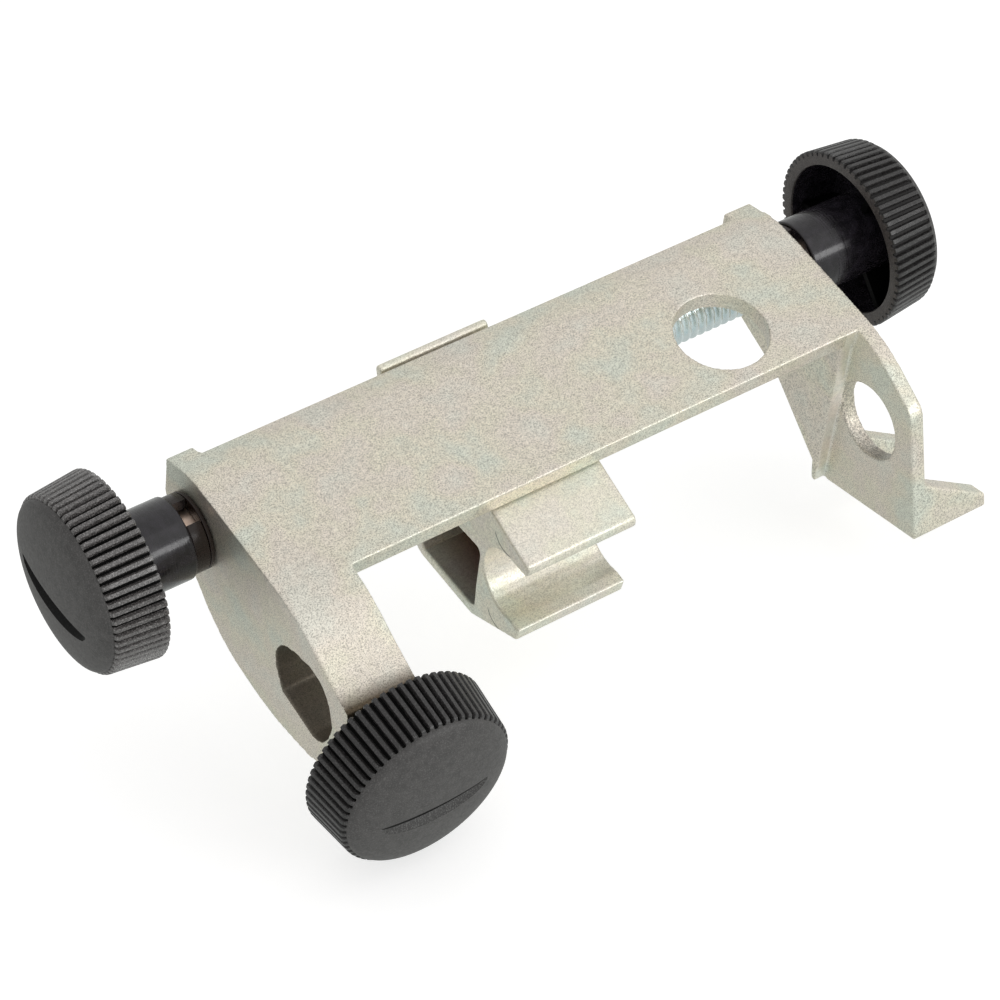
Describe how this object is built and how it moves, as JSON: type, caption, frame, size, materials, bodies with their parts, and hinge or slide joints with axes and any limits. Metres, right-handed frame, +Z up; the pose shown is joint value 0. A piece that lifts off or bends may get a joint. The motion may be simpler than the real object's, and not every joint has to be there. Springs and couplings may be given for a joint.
{
  "type": "grindstone truing tool",
  "caption": "Grindstone truing tool: a die-cast bridge clamps on a 12 mm support bar, and a two-knob lead screw slides a forked diamond carriage along it.",
  "frame": {"origin": "on the axis of the 12 mm support bar, midway between the two end cheeks; lead screw axis at Y 25.7 mm, Z 14.5 mm", "axes": "+X along the support bar and the lead screw, from the clamp end to the foot end; +Y from the support bar towards the grindstone; +Z up"},
  "size_m": [0.1538, 0.068, 0.0494],
  "materials": {
    "zinc": "tumbled zinc die casting, satin, warm grey",
    "steel": "bright zinc-plated steel",
    "brass": "turned brass",
    "knob_black": "matt black moulded plastic",
    "bearing_black": "glossy black moulded plastic",
    "diamond": "industrial diamond crystal"
  },
  "bodies": {
    "body": {"body_casting": "zinc", "bushing_left": "bearing_black", "bushing_right": "bearing_black"},
    "spindle": {"lead_screw": "steel", "knob_left": "knob_black", "knob_right": "knob_black", "insert_left": "brass", "insert_right": "brass", "pin_left": "steel", "pin_right": "steel", "retaining_clip_left": "bearing_black", "retaining_clip_right": "bearing_black"},
    "carriage": {"carriage_casting": "zinc", "feed_nut": "brass", "diamond_shank": "steel", "diamond_tip": "diamond", "grub_screw": "steel"},
    "clamp_foot": {"clamp_pad": "brass"},
    "clamp_handle": {"clamp_screw": "steel", "clamp_knob": "knob_black", "clamp_insert": "brass"}
  },
  "joints": [
    {"name": "lead_screw_turn", "type": "hinge", "parent": "body", "child": "spindle", "pos_m": [0, 0.0257, 0.0145], "axis": [1, 0, 0], "range_deg": [-10320, 5760]},
    {"name": "carriage_feed", "type": "slide", "parent": "body", "child": "carriage", "axis": [1, 0, 0], "range_m": [-0.0241, 0.0431]},
    {"name": "clamp_feed", "type": "slide", "parent": "body", "child": "clamp_foot", "axis": [0, -0.9603, -0.279], "range_m": [-0.0019, 0.0015]},
    {"name": "clamp_turn", "type": "hinge", "parent": "clamp_foot", "child": "clamp_handle", "pos_m": [-0.0469, 0, 0], "axis": [0, -0.9603, -0.279], "range_deg": [-540, 432]}
  ],
  "couplings": [
    {"joint": "carriage_feed", "follows": "lead_screw_turn", "m_per_rad": -0.00023873},
    {"joint": "clamp_feed", "follows": "clamp_turn", "m_per_rad": 0.00019894}
  ]
}
